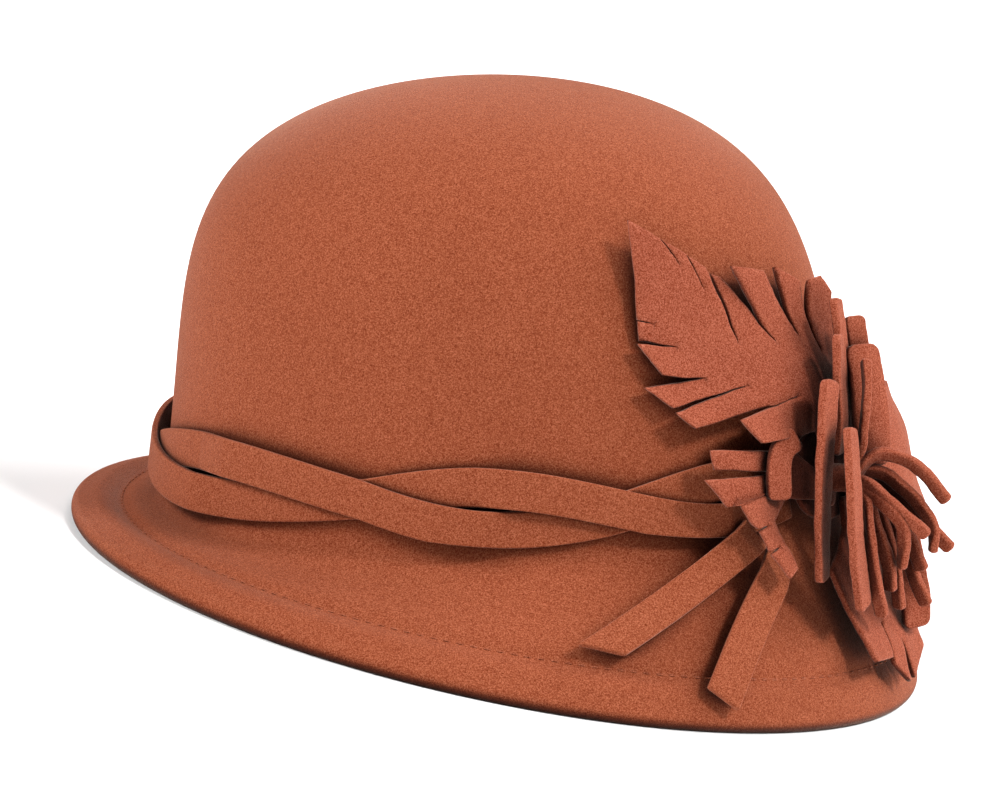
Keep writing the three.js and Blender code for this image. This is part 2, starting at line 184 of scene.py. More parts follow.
def solid(name, points, faces, slot_name, nodes, body="root"):
    """A closed piece in metres that stands for the CAD nodes. body None leaves it unattached to any
    body.
    """
    points = np.asarray(points).reshape(-1, 3)
    if slot_name == "felt_flower":
        points = np.asarray(uneven(points))
    mesh = bpy.data.meshes.new(name)
    mesh.from_pydata((points * MM).tolist(), [], faces)
    bm = bmesh.new()
    bm.from_mesh(mesh)
    bmesh.ops.remove_doubles(bm, verts=bm.verts, dist=WELD)
    bmesh.ops.recalc_face_normals(bm, faces=bm.faces)
    if bm.calc_volume(signed=True) < 0:
        bmesh.ops.reverse_faces(bm, faces=bm.faces)
    bm.to_mesh(mesh)
    bm.free()
    mesh.polygons.foreach_set("use_smooth", [True] * len(mesh.polygons))
    piece = bpy.data.objects.new(name, mesh)
    bpy.context.scene.collection.objects.link(piece)
    piece.data.materials.append(MATERIALS[slot_name])
    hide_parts(*nodes)
    if body:
        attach(piece, body)
    return piece


def grid_faces(rows, columns, wrap_rows=False):
    """Quads between rows of points. Each row is a closed loop."""
    last = rows if wrap_rows else rows - 1
    return [(i * columns + j, i * columns + (j + 1) % columns,
             (i + 1) % rows * columns + (j + 1) % columns, (i + 1) % rows * columns + j)
            for i in range(last) for j in range(columns)]


def ring_body(name, profile, slot_name, nodes, steps=288, closed=False):
    """A body around the hat. Each profile row is a function of the angle."""
    theta = np.linspace(0, TAU, steps, endpoint=False)
    points = np.stack([row(theta) for row in profile])
    return solid(name, points, grid_faces(len(profile), steps, closed), slot_name, nodes)


def inset(distance, radius):
    """How far a rounded edge of that radius has drawn in, at a distance from the very edge."""
    d = np.clip(distance, 0, radius)
    return radius - np.sqrt(radius ** 2 - (radius - d) ** 2)


def section(width, thick, radius, across):
    """A rounded oblong loop of (x, y), first along its top, then down and back below."""
    radius = min(radius, thick / 2, width / 2)
    turns = np.radians([67.5, 45, 22.5])
    x = np.linspace(-width / 2 + radius, width / 2 - radius, across + 1)
    top = [(v, thick / 2) for v in x]
    corner = [(width / 2 - radius + radius * math.cos(t), thick / 2 - radius + radius * math.sin(t))
              for t in turns] + [(width / 2, thick / 2 - radius)]
    right = corner + [(a, -b) for a, b in corner[::-1]]
    bottom = [(v, -thick / 2) for v in x[::-1]]
    left = [(-a, -b) for a, b in right]
    return np.array(top + right + bottom + left)


def strip_mesh(length, width, place, step=1.0, across=6, edge=0.55, corner=0.0,
               thick=TRIM_FELT):
    """A felt strip with softened edges. place(x, y, d) puts a point that is x mm from its middle
    line, y mm above its middle layer and d mm along it."""
    soft = max(edge, corner)
    near = soft * (1 - np.cos(np.linspace(0.12, 1, 6) * math.pi / 2))
    middle = np.linspace(soft, length - soft, max(int((length - 2 * soft) / step), 4))[1:-1]
    d = np.concatenate([near, middle, length - near[::-1]])
    rows = []
    for value in d:
        from_end = min(value, length - value)
        draw = float(inset(from_end, edge))
        round_off = float(inset(from_end, corner)) if corner > 0 else 0
        loop = section(width - 2 * max(draw, round_off), thick - 2 * draw, edge, across)
        rows.append(place(loop[:, 0], loop[:, 1], value))
    count = len(rows[0])
    faces = grid_faces(len(rows), count)
    faces += [tuple(range(count))[::-1], tuple(range((len(rows) - 1) * count, len(rows) * count))]
    return np.concatenate(rows), faces


def strip(name, slot_name, nodes, *shape, body="root", **cut):
    return solid(name, *strip_mesh(*shape, **cut), slot_name, nodes, body)


def spline(route, samples=400):
    """A centripetal Catmull-Rom curve as even steps of length: points, tangents, length."""
    p = np.array(route, float)
    p = np.vstack([2 * p[0] - p[1], p, 2 * p[-1] - p[-2]])
    fine = []
    for a, b, c, d in zip(p, p[1:], p[2:], p[3:]):
        t0, t1, t2 = (np.linalg.norm(v) ** 0.5 for v in (b - a, c - b, d - c))
        m1 = ((b - a) / t0 - (c - a) / (t0 + t1) + (c - b) / t1) * t1
        m2 = ((c - b) / t1 - (d - b) / (t1 + t2) + (d - c) / t2) * t1
        t = np.linspace(0, 1, 60, endpoint=False)[:, None]
        fine.append(b + m1 * t + (3 * (c - b) - 2 * m1 - m2) * t ** 2
                    + (2 * (b - c) + m1 + m2) * t ** 3)
    fine = np.vstack(fine + [p[-2][None]])
    run = run_of(fine)
    at = np.linspace(0, run[-1], samples)
    points = np.stack([np.interp(at, run, fine[:, k]) for k in range(3)], -1)
    return points, unit(np.gradient(points, axis=0)), run[-1]


def along_route(route, width, across, curl=0.0, twist=0.0):
    """Length and place() of a strip along a route. across is the way its width runs, curl cups
    it by that many millimetres, and twist turns it by that many degrees from root to tip."""
    points, tangents, length = spline(route)
    side = np.array(across, float)
    at = np.linspace(0, length, len(points))

    def place(x, y, d):
        centre = np.array([np.interp(d, at, points[:, k]) for k in range(3)])
        along = unit(np.array([np.interp(d, at, tangents[:, k]) for k in range(3)]))
        sideways = unit(side - along * side.dot(along))
        out = np.cross(along, sideways)
        turn = math.radians(twist) * (d / length - 0.5)
        sideways, out = (sideways * math.cos(turn) + out * math.sin(turn),
                         out * math.cos(turn) - sideways * math.sin(turn))
        cup = curl * (2 * x / width) ** 2
        return centre + x[:, None] * sideways + (y + cup)[:, None] * out

    return length, place


# ---- Felt shapes cut flat ----

def split_outline(outline, slits, width=0.35):
    """The outline with a narrow wedge let in at each slit (outer point, inner point)."""
    loop = [np.array(p, float) for p in outline]
    for outer, inner in slits:
        outer, inner = np.array(outer, float), np.array(inner, float)
        best = min(range(len(loop)),
                   key=lambda i: to_segment(outer[None], loop[i], loop[(i + 1) % len(loop)])[0])
        a, b = loop[best], loop[(best + 1) % len(loop)]
        along = (b - a) / np.linalg.norm(b - a)
        on_edge = a + along * np.dot(outer - a, along)
        loop[best + 1:best + 1] = [on_edge - along * width / 2, inner, on_edge + along * width / 2]
    return np.array(loop)


def to_segment(p, a, b):
    ab = b - a
    t = np.clip(((p - a) @ ab) / max(ab @ ab, 1e-12), 0, 1)
    return np.linalg.norm(p - a - t[:, None] * ab, axis=1)


def to_outline(p, loop):
    return np.min([to_segment(p, a, b) for a, b in zip(loop, np.roll(loop, -1, axis=0))], axis=0)


def inside(p, loop):
    hit = np.zeros(len(p), bool)
    for (ax, ay), (bx, by) in zip(loop, np.roll(loop, -1, axis=0)):
        if ay == by:
            continue
        crosses = (ay > p[:, 1]) != (by > p[:, 1])
        hit ^= crosses & (p[:, 0] < ax + (bx - ax) * (p[:, 1] - ay) / (by - ay))
    return hit


def cut_felt(name, loop, lift, node, spacing=1.5, edge=0.5):
    """A shape cut from flower felt, with softened edges, bent over the hat. lift(u, g) is the
    height of its underside."""
    border_step, first_ring, second_ring = 1.2, 0.15, 0.5
    border = []
    for a, b in zip(loop, np.roll(loop, -1, axis=0)):
        count = max(int(np.linalg.norm(b - a) / border_step), 1)
        border += [mix(a, b, i / count) for i in range(count)]
    border = np.array(border)
    tangent = np.roll(border, -1, axis=0) - np.roll(border, 1, axis=0)
    inward = unit(np.stack([-tangent[:, 1], tangent[:, 0]], -1))
    rings = np.vstack([border + s * inward * o for s in (1, -1) for o in (first_ring, second_ring)])
    low, high = loop.min(0), loop.max(0)
    u, g = np.meshgrid(np.arange(low[0], high[0], spacing), np.arange(low[1], high[1], spacing))
    u[1::2] += spacing / 2
    grid = np.stack([u.ravel(), g.ravel()], -1)
    near = to_outline(rings, loop)
    on_ring = (np.abs(near - first_ring) < 0.04) | (np.abs(near - second_ring) < 0.08)
    rings = rings[inside(rings, loop) & on_ring]
    grid = grid[inside(grid, loop) & (to_outline(grid, loop) > 0.9)]
    flat = np.vstack([border, rings, grid])
    out = delaunay_2d_cdt([Vector(p) for p in flat], [], [list(range(len(border)))], 1, 1e-4)
    flat = np.array([tuple(p) for p in out[0]])
    triangles = [tuple(f) for f in out[2]]
    draw = inset(to_outline(flat, loop), edge)
    base = lift(flat[:, 0], flat[:, 1])
    top = lay_flat(flat[:, 0], flat[:, 1], base + TRIM_FELT - draw)
    under = lay_flat(flat[:, 0], flat[:, 1], base + draw)
    count = len(flat)
    once = {}
    for f in triangles:
        for a, b in zip(f, f[1:] + f[:1]):
            if (b, a) in once:
                del once[(b, a)]
            else:
                once[(a, b)] = True
    faces = triangles + [tuple(v + count for v in f[::-1]) for f in triangles]
    faces += [(b, a, a + count, b + count) for a, b in once]
    return solid(name, np.vstack([top, under]), faces, "felt_flower", [node])


def area_of(loop):
    x, y = loop[:, 0], loop[:, 1]
    return abs(np.dot(x, np.roll(y, -1)) - np.dot(y, np.roll(x, -1))) / 2


# ---- Materials ----

def material(name, color, roughness):
    made = bpy.data.materials.new(name)
    made.use_nodes = True
    shader = made.node_tree.nodes["Principled BSDF"]
    shader.inputs["Base Color"].default_value = (*color, 1)
    shader.inputs["Roughness"].default_value = roughness
    return made, made.node_tree.nodes, made.node_tree.links, shader


def noise(nodes, links, vector, scale, detail=3.0, rough=0.6, distortion=0.0):
    node = nodes.new("ShaderNodeTexNoise")
    node.inputs["Scale"].default_value = scale
    node.inputs["Detail"].default_value = detail
    node.inputs["Roughness"].default_value = rough
    node.inputs["Distortion"].default_value = distortion
    links.new(vector, node.inputs["Vector"])
    return node.outputs["Fac"]


def ramp(nodes, links, value, stops):
    node = nodes.new("ShaderNodeValToRGB")
    node.color_ramp.elements[0].position, node.color_ramp.elements[1].position = (
        stops[0][0], stops[-1][0])
    for position, _ in stops[1:-1]:
        node.color_ramp.elements.new(position)
    for element, (_, color) in zip(node.color_ramp.elements, stops):
        element.color = (*color, 1)
    links.new(value, node.inputs["Fac"])
    return node.outputs["Color"]


def blend_color(nodes, links, kind, factor, a, b):
    node = nodes.new("ShaderNodeMix")
    node.data_type, node.blend_type = "RGBA", kind
    node.inputs["Factor"].default_value = factor
    links.new(a, node.inputs["A"])
    links.new(b, node.inputs["B"])
    return node.outputs["Result"]


def bump(nodes, links, height, distance, strength, before=None):
    node = nodes.new("ShaderNodeBump")
    node.inputs["Distance"].default_value = distance
    node.inputs["Strength"].default_value = strength
    links.new(height, node.inputs["Height"])
    if before is not None:
        links.new(before, node.inputs["Normal"])
    return node.outputs["Normal"]


def felt(name, color, sheen, reach, sheen_tint=(1.0, 0.72, 0.6)):
    """Pressed wool: matted fibres give a fine mottle, clumps a coarser one, and the nap a sheen.
    Where other surfaces are closer than reach, the colour is darkened: painted shade in creases and
    crevices."""
    made, nodes, links, shader = material(name, color, 0.92)
    place = nodes.new("ShaderNodeTexCoord").outputs["Object"]
    color = np.array(color)
    mottle = noise(nodes, links, place, 2700, 2, 0.75, 0.4)
    clumps = noise(nodes, links, place, 520, 3, 0.6)
    cloud = noise(nodes, links, place, 30, 2, 0.5)
    deep = np.array([0.46, 0.7, 0.82])
    pale = np.array([0.55, 1.05, 1.5])
    fine = ramp(nodes, links, mottle, [
        (0.34, tuple(color * (1 - deep))), (0.5, tuple(color)), (0.66, tuple(color * (1 + pale)))])
    tone = ramp(nodes, links, clumps, [(0.3, (0.93, 0.91, 0.9)), (0.7, (1.0, 1.0, 1.0))])
    wide = ramp(nodes, links, cloud, [(0.3, (0.96, 0.95, 0.94)), (0.7, (1.0, 1.0, 1.0))])
    both = blend_color(nodes, links, "MULTIPLY", 1.0, fine, tone)
    both = blend_color(nodes, links, "MULTIPLY", 1.0, both, wide)
    # Painted highlight: convex edges, found by pointiness, are coloured lighter, as if lit.
    rim = nodes.new("ShaderNodeNewGeometry").outputs["Pointiness"]
    painted_edge_highlight = ramp(nodes, links, rim, [(0.52, (1.0, 1.0, 1.0)), (0.62, (1.22, 1.34, 1.45))])
    both = blend_color(nodes, links, "MULTIPLY", 1.0, both, painted_edge_highlight)
    # Painted shade: ambient occlusion darkens the base colour in creases, crevices and near the
    # floor.
    painted_shade_ao = nodes.new("ShaderNodeAmbientOcclusion")
    painted_shade_ao.samples = 8
    painted_shade_ao.inputs["Distance"].default_value = reach
    painted_crevice_shade = ramp(nodes, links, painted_shade_ao.outputs["AO"], [
        (0.15, (0.04, 0.025, 0.02)), (0.5, (0.3, 0.25, 0.23)), (0.82, (1.0, 1.0, 1.0))])
    both = blend_color(nodes, links, "MULTIPLY", 1.0, both, painted_crevice_shade)
    links.new(both, shader.inputs["Base Color"])
    soft = bump(nodes, links, clumps, 0.0005, 0.3)
    fibres = bump(nodes, links, mottle, 0.0003, 0.6, soft)
    links.new(fibres, shader.inputs["Normal"])
    shader.inputs["Specular IOR Level"].default_value = 0.08
    shader.inputs["Sheen Weight"].default_value = sheen
    shader.inputs["Sheen Roughness"].default_value = 0.35
    shader.inputs["Sheen Tint"].default_value = (*sheen_tint, 1)
    return made


def grosgrain(name, color):
    """Ribbon with fine cross ribs. The ribs follow the mesh's own rib coordinate."""
    made, nodes, links, shader = material(name, color, 0.6)
    ribs = nodes.new("ShaderNodeAttribute")
    ribs.attribute_name = "rib"
    sine = nodes.new("ShaderNodeMath")
    sine.operation = "SINE"
    links.new(ribs.outputs["Fac"], sine.inputs[0])
    color = np.array(color)
    # Painted shade and highlight: the colour is darker in the rib troughs and lighter on the
    # crests, following the same sine as the rib bump.
    shade = ramp(nodes, links, sine.outputs[0], [
        (0.0, tuple(color * 0.6)), (1.0, tuple(color * 1.25))])
    links.new(shade, shader.inputs["Base Color"])
    place = nodes.new("ShaderNodeTexCoord").outputs["Object"]
    threads = noise(nodes, links, place, 2500, 2, 0.6)
    ribbed = bump(nodes, links, sine.outputs[0], 0.0004, 0.6)
    links.new(bump(nodes, links, threads, 0.0002, 0.3, ribbed), shader.inputs["Normal"])
    shader.inputs["Sheen Weight"].default_value = 0.2
    return made


def steel(name, color):
    made, nodes, links, shader = material(name, color, 0.35)
    shader.inputs["Metallic"].default_value = 1.0
    place = nodes.new("ShaderNodeTexCoord").outputs["Object"]
    drawn = noise(nodes, links, place, 900, 3, 0.6)
    color = np.array(color)
    links.new(ramp(nodes, links, drawn, [(0.3, tuple(color * 0.8)), (0.7, tuple(color * 1.1))]),
              shader.inputs["Base Color"])
    links.new(bump(nodes, links, drawn, 0.0001, 0.3), shader.inputs["Normal"])
    return made


MATERIALS = {
    "felt_body": felt("rust_felt", (0.256, 0.061, 0.0245), 0.24, 0.01),
    "felt_band": felt("band_felt", (0.26, 0.0635, 0.026), 0.24, 0.006),
    "felt_flower": felt("flower_felt", (0.285, 0.067, 0.0325), 0.2, 0.024),
    "thread": felt("sewing_thread", (0.25, 0.06, 0.025), 0.2, 0.004),
    "ribbon": grosgrain("grosgrain", (0.11, 0.03, 0.015)),
    "wire": steel("drawn_steel", (0.6, 0.6, 0.6)),
}


# ---- Crown, brim and what they hold ----

def groove(distance):
    """How far the felt is sunk by the hem stitches, and raised (below zero) over the wire."""
    channel = SEAM["sunk"] * np.exp(-((distance - SEAM["from_edge"]) / SEAM["width"]) ** 2)
    swell = SEAM["raised"] * np.exp(-((distance - SEAM["crest"]) / SEAM["width"]) ** 2)
    return channel - swell


def felt_profile():
    """Rows from the tip down the outside, round the hem, and up the inside to the tip."""
    def crown(g, offset):
        return lambda theta: on_hat(g + 0 * theta, theta, offset + 0 * theta)

    def brim(part, offset, stitched=False):
        def row(theta):
            length = brim_length(theta)
            sunk = groove((1 - part) * length) if stitched else 0
            return on_hat(-part * length, theta, offset - sunk + 0 * theta)
        return row

    def from_edge(distance, offset):
        return lambda theta: on_hat(distance - brim_length(theta), theta, offset + 0 * theta)

    def roll(turn, radius):
        def row(theta):
            centre, up_slope, normal = hem_frame(theta)
            point = centre + normal * radius * math.cos(turn) - up_slope * radius * math.sin(turn)
            point[..., 2] = np.maximum(point[..., 2], 0)
            return point
        return row

    slot, under = HEM["slot"], HEM["turn_under"]
    deep = HAT_FELT + slot

    def slot_wall(s, offset):
        """The slot between the brim and its turned hem, wider in its middle."""
        return from_edge(under * s, offset - slot * (1 - abs(2 * s - 1)) * 0.9)

    crown_g = CROWN["arc"] * np.sin(np.linspace(math.pi / 2, 0, 70))[:-1]
    rows = [crown(g, 0) for g in crown_g]
    rows += [brim(part, 0, True) for part in np.linspace(0, 1, 56)[:-1]]
    rows += [roll(t, HEM["radius"]) for t in np.linspace(0, math.pi, 22)]
    step = np.linspace(0, 1, 7)[1:]
    rows += [slot_wall(s, -HAT_FELT - deep) for s in step[:-1]]
    rows += [from_edge(under - 0.25, -HAT_FELT - deep), from_edge(under, -HAT_FELT - deep + 0.5),
             from_edge(under, -deep - 0.5), from_edge(under - 0.25, -deep)]
    rows += [slot_wall(s, -deep) for s in step[-2::-1]]
    rows += [roll(t, HEM["radius"] - HAT_FELT) for t in np.linspace(math.pi, 0, 9)]
    rows += [from_edge(under * s, -HAT_FELT) for s in (0.25, 0.5, 0.75, 1.0)]
    rows += [brim(part, -HAT_FELT) for part in np.linspace(0.72, 0, 20)[:-1]]
    rows += [crown(g, -HAT_FELT) for g in crown_g[::-1]]
    return rows


def make_body():
    return ring_body("hat_felt", felt_profile(), "felt_body", ["felt_body"], steps=360)


def make_sweatband():
    outer = -(HAT_FELT + GAP)
    inner = outer - SWEATBAND["thickness"]
    heights = np.linspace(SWEATBAND["bottom"], SWEATBAND["top"], 14)

    def at(g, offset):
        return lambda theta: on_hat(g + 0 * theta, theta, offset + 0 * theta)

    rows = [at(g, outer) for g in heights[::-1]] + [at(g, inner) for g in heights]
    piece = ring_body("sweatband_ribbon", rows, "ribbon", ["sweatband"], closed=True)
    co = np.array([v.co for v in piece.data.vertices])
    angle = np.arctan2(co[:, 1] / CROWN["half_width"], (co[:, 0] / MM - CROWN["base_x"])
                       / CROWN["half_length"] * MM)
    rib = piece.data.attributes.new("rib", "FLOAT", "POINT")
    rib.data.foreach_set("value", (angle * SWEATBAND["rib_pitch"]).astype(np.float32))
    middle = on_hat(heights.mean(), np.linspace(0, TAU, 361), (outer + inner) / 2)
    return piece


def make_stitches():
    """Short sunk stitches along the turned hem, joined into one row."""
    sides, half = STITCH["sides"], STITCH["half_length"]
    points, faces = [], []
    theta_all = np.linspace(0, TAU, 2000)
    ring = skin_point(SEAM["from_edge"] - brim_length(theta_all), theta_all)
    run = run_of(ring)
    along = np.linspace(-half, half, 7)
    height = STITCH["stands"] - SEAM["sunk"] - STITCH["ends_sink"] * (along / half) ** 4
    size = STITCH["radius"] * np.sqrt(1 - (0.9 * along / half) ** 4)
    for k in range(STITCH["count"]):
        middle = run[-1] * (k + 0.5) / STITCH["count"]
        theta = np.interp(middle + along, run, theta_all)
        g = SEAM["from_edge"] - brim_length(theta)
        start = len(points)
        for t, up, r in zip(np.stack([theta, g], -1), height, size):
            for s in range(sides):
                turn = TAU * s / sides
                points.append(on_hat(t[1] + r * math.cos(turn), t[0], up + r * math.sin(turn)))
        rows = len(along)
        faces += [tuple(start + v for v in f) for f in grid_faces(rows, sides)]
        faces += [tuple(start + v for v in range(sides))[::-1],
                  tuple(start + (rows - 1) * sides + v for v in range(sides))]
    return solid("hem_stitches", points, faces, "thread", ["hem_thread"])


# ---- Twisted band and tails ----

def band_phase(theta):
    return math.pi * np.interp(theta, CROSSINGS, np.arange(len(CROSSINGS)))


def make_band(name, node, sign):
    theta_at = np.linspace(BAND["end"], BAND["start"], 900)

    def middle_line(theta):
        middle = BAND["height"] + BAND["wave"] * np.sin(2 * theta)
        phase = band_phase(theta)
        from_swap = math.pi / 2 - np.arccos(np.clip(np.cos(phase), -1, 1))
        over = np.clip(from_swap / BAND["swap"], -1, 1)
        return (middle - sign * BAND["half_spread"] * np.sin(phase),
                BAND["offset"] + sign * BAND["over_under"] * over)

    g, out = middle_line(theta_at)
    run = run_of(on_hat(g, theta_at, out))

    def place(x, y, d):
        theta = np.interp(d, run, theta_at)
        g, out = middle_line(theta)
        return on_hat(g + x, theta, out + y)

    piece = strip(name, "felt_band", [node], run[-1], BAND["width"], place, across=8)
    return piece


TAILS = {
    "tail_long": dict(root=[[-51.6, -3], [-48.4, -13.8]], tip=[[-78, -37], [-71.6, -40]],
                      bow=0, tuck=0.10),
    "tail_short": dict(root=[[-48.4, -18], [-45, -27]], tip=[[-60.5, -49], [-56.4, -54.8]],
                       bow=-0.6, tuck=0.28),
}
TAIL_LIFT = dict(root=5.9, tip=3.4)
TAIL_BEND = (-0.04, 0.16)


def make_tail(name, root, tip, bow, tuck):
    """A slanted strip on the brim, whose root runs on under the leaves."""
    root, tip = np.array(root, float), np.array(tip, float)

    def spot(side, z):
        at = mix(mix(root[0], root[1], side), mix(tip[0], tip[1], side), z)
        return np.radians(at[0] + bow * math.sin(math.pi * max(z, 0))), at[1]

    def point(side, z, y):
        theta, g = spot(side, z)
        lift = mix(TAIL_LIFT["root"], TAIL_LIFT["tip"], max(z, 0)) + 1.2 * min(z, 0) / tuck
        return on_hat(g, theta, lift + TRIM_FELT / 2 + y)

    near, far = point(0.5, 0, 0), point(0.5, 1, 0)
    length = np.linalg.norm(far - near) * (1 + tuck)
    width = np.linalg.norm(point(0, 0.5, 0) - point(1, 0.5, 0))

    def place(x, y, d):
        z = mix(-tuck, 1, d / length)
        return np.stack([point(0.5 + a / width, z, b) for a, b in zip(x, y)])

    piece = strip(name + "_felt", "felt_band", [name], length, width, place, body=None)
    bend_start, bend_end = (point(0.5, z, 0) * MM for z in TAIL_BEND)
    tuple(bend_start)
    tuple(bend_end)
    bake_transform(piece)
    return piece


# ---- Flower ----

LEAVES = {
    "leaf_upper": dict(
        lift=(10.4, 1.4, 18, 46),
        outline=[
            (-49.6, 82.2), (-53.6, 60.6), (-55.7, 49.3), (-46.2, 46.6), (-56.9, 48.6),
            (-52.8, 39.6), (-46.3, 38.2), (-40.5, 37.4), (-58.1, 36.7), (-52.7, 30.9),
            (-29.8, 34), (-52.4, 29.7), (-48.5, 25), (-36, 27), (-18, 28.8), (-39.2, 26.2),
            (-35.8, 19.8), (-14, 19), (-6, 2), (4, 6), (8, 30), (11, 42), (9, 52), (4.5, 57.4),
            (0.8, 57.4), (0.6, 37.6), (-0.4, 57.5), (-9, 63.4), (-5.4, 42.9), (-15.7, 63.1),
            (-26.3, 66.1), (-15.5, 43), (-27, 64), (-29.6, 65.5), (-27.8, 45), (-32.9, 67)],
        slits=[((-42.5, 77), (-40.2, 69)), ((-37.5, 71), (-35, 62)), ((-55, 55), (-51, 53.5))],
        fingers=[(34, 39, 6), (3, 7, 2), (7, 10, 3), (10, 14, 5), (14, 17, 9), (20, 25, 7),
                 (25, 28, 3), (28, 31, 5), (31, 34, -0.6)]),
    "leaf_left": dict(
        lift=(8, 12.5, 18, 38),
        outline=[
            (-7, 3), (-22, 15.5), (-47.8, 19.7), (-48.1, 14.6), (-26.1, 10.5), (-52.3, 12.7),
            (-47.8, 5.1), (-27.2, 7), (-45.5, 5.8), (-42.1, -3), (-37.8, -2.1), (-41.9, -4.2),
            (-42.5, -14.9), (-38.6, -13.5), (-42.3, -15.9), (-40.4, -25.7), (-36, -22.5),
            (-35.6, -12), (-34.2, -1), (-27, 3.8), (-16, 1.5), (-9.8, -2)],
        slits=[], fingers=[(1, 4, -2), (4, 7, 1), (7, 19, 3)]),
    "leaf_right": dict(
        lift=(12.8, 15.7, 16, 40), droop=3.2,
        outline=[
            (-3, 9), (8, 19), (24, 22), (42, 20.5), (56, 13), (50, 8), (60, 9), (67, 0),
            (52, -1), (65, -3), (60, -12), (46, -9), (57, -14), (48, -21), (36, -16),
            (44, -23), (32, -24), (22, -14), (8, -5), (-3, 2)],
        slits=[], fingers=[]),
    "leaf_lower": dict(
        lift=(8, 5, 20, 50),
        outline=[
            (-5, 0), (-7, -11), (-13, -18.5), (-18.5, -24), (-13.9, -50.7), (-1.4, -51.3),
            (-1.4, -42), (0.2, -53.2), (7.4, -58.6), (7.8, -48.1), (10.3, -58.2),
            (21.3, -52.9), (17.3, -23), (8, 0)],
        slits=[], fingers=[(3, 6, 3), (9, 12, 1)]),
}


def finger_lift(p, outline, fingers):
    """Extra height of the fingers. Each runs from one notch of the outline to the next, and
    stands off the felt by its height at the tip."""
    extra = np.zeros(len(p))
    on_edge = 0.2
    ring = np.array(outline * 2, float)
    for first, last, height in fingers:
        lobe = ring[first:last + 1]
        a, b = lobe[0], lobe[-1]
        normal = np.array([(a - b)[1], (b - a)[0]])
        depth = (lobe - a) @ normal
        far = depth[np.argmax(np.abs(depth))]
        t = np.clip((p - a) @ normal / far, 0, 1)
        here = inside(p, lobe) | (to_outline(p, lobe) < on_edge)
        extra = np.where(here, height * t ** 1.6, extra)
    return extra


def make_leaf(name, lift, outline, slits, fingers, droop=0):
    root, edge, near, far = lift
    loop = split_outline(outline, slits)

    def height(u, g):
        distance = np.hypot(u - FLOWER["u"], g - FLOWER["g"])
        return (mix(root, edge, smooth(near, far, distance))
                + finger_lift(np.stack([u, g], -1), outline, fingers)
                - droop * smooth(10, 28, u) * smooth(6, 20, g))

    piece = cut_felt(name + "_felt", loop, height, name)
    area_of(loop) * MM * MM
    return piece


def make_backing():
    turn = np.linspace(0, TAU, 40, endpoint=False)
    loop = np.stack([FLOWER["u"] + FLOWER["backing_radius"] * np.cos(turn),
                     FLOWER["g"] + FLOWER["backing_radius"] * np.sin(turn)], -1)
    piece = cut_felt("backing_felt", loop, lambda u, g: FLOWER["backing_lift"] + 0 * u,
                     "flower_backing")
    area_of(loop) * MM * MM
    return piece


def rolled_core():
    """The uncut edge of the fringe, rolled up tight and standing on the leaves."""
    base = lay_flat(np.array(CORE["u"]), np.array(CORE["g"]), CORE["bottom"])
    end = lay_flat(np.array(CORE["u"]), np.array(CORE["g"]), CORE["top"])
    axis, height = unit(end - base), np.linalg.norm(end - base)
    side = unit(np.cross(axis, [0, 0, 1.0]))
    other = np.cross(axis, side)
    turns, first = 2.1, 0.9
    pitch = (CORE["radius"] - 0.75 - first) / turns
    angle = np.linspace(0, TAU * turns, 300)
    radius = first + pitch * angle / TAU
    run = np.concatenate([[0], np.cumsum(np.hypot(np.diff(radius), radius[1:] * np.diff(angle)))])

    def place(x, y, d):
        a = np.interp(d, run, angle)
        r = first + pitch * a / TAU + y
        ring = side * math.cos(a) + other * math.sin(a)
        return base + axis * (height / 2) + x[:, None] * axis + r[:, None] * ring

    points, faces = strip_mesh(run[-1], height, place, step=0.6, across=4, edge=0.5,
                               thick=pitch * 0.86)
    return points, faces, run[-1] * height


PETALS = [
    dict(route=[[78, -61, 95], [80, -65.8, 81], [83.2, -68, 62], [88, -67, 40]], width=8.4,
         across=[0.4, 0.92, 0], twist=-14),
    dict(route=[[86, -65.5, 84], [90, -70.5, 70], [95, -70.5, 52], [101, -66.5, 35]], width=8,
         across=[0.35, 0.94, 0], twist=8),
    dict(route=[[87.2, -50.7, 73.4], [84.7, -48.3, 84], [80.7, -44.4, 100], [75.8, -39.9, 114]],
         width=6, across=[0.35, 0.94, 0]),
    dict(route=[[94, -44, 74.8], [90.6, -41.2, 86], [86.4, -37.4, 98], [82, -34, 109]], width=7,
         across=[0.85, 0.52, 0]),
    dict(route=[[85, -56.5, 74], [84, -56.5, 83], [81, -54, 94], [78, -51, 106]], width=6,
         across=[0.3, 0.95, 0], twist=12),
    dict(route=[[95.9, -49.8, 71.5], [93.7, -47.8, 81], [89.8, -44.4, 93], [85.6, -40.6, 103]],
         width=11.8, across=[0.85, 0.52, 0], curl=0.8),
    dict(route=[[102.5, -41.4, 64.1], [110.4, -39.9, 50.1], [116.2, -38.4, 36.5],
                [119.2, -37.2, 25.5]], width=9, across=[0.85, 0.5, 0.1]),
    dict(route=[[72.3, -64.4, 78], [69.3, -68.4, 75], [69, -71, 70], [71, -72, 61]], width=7.4,
         across=[0.8, 0.5, 0], twist=10),
]
FINGER = dict(width=4.0, across=[0, -0.4, 0.92])
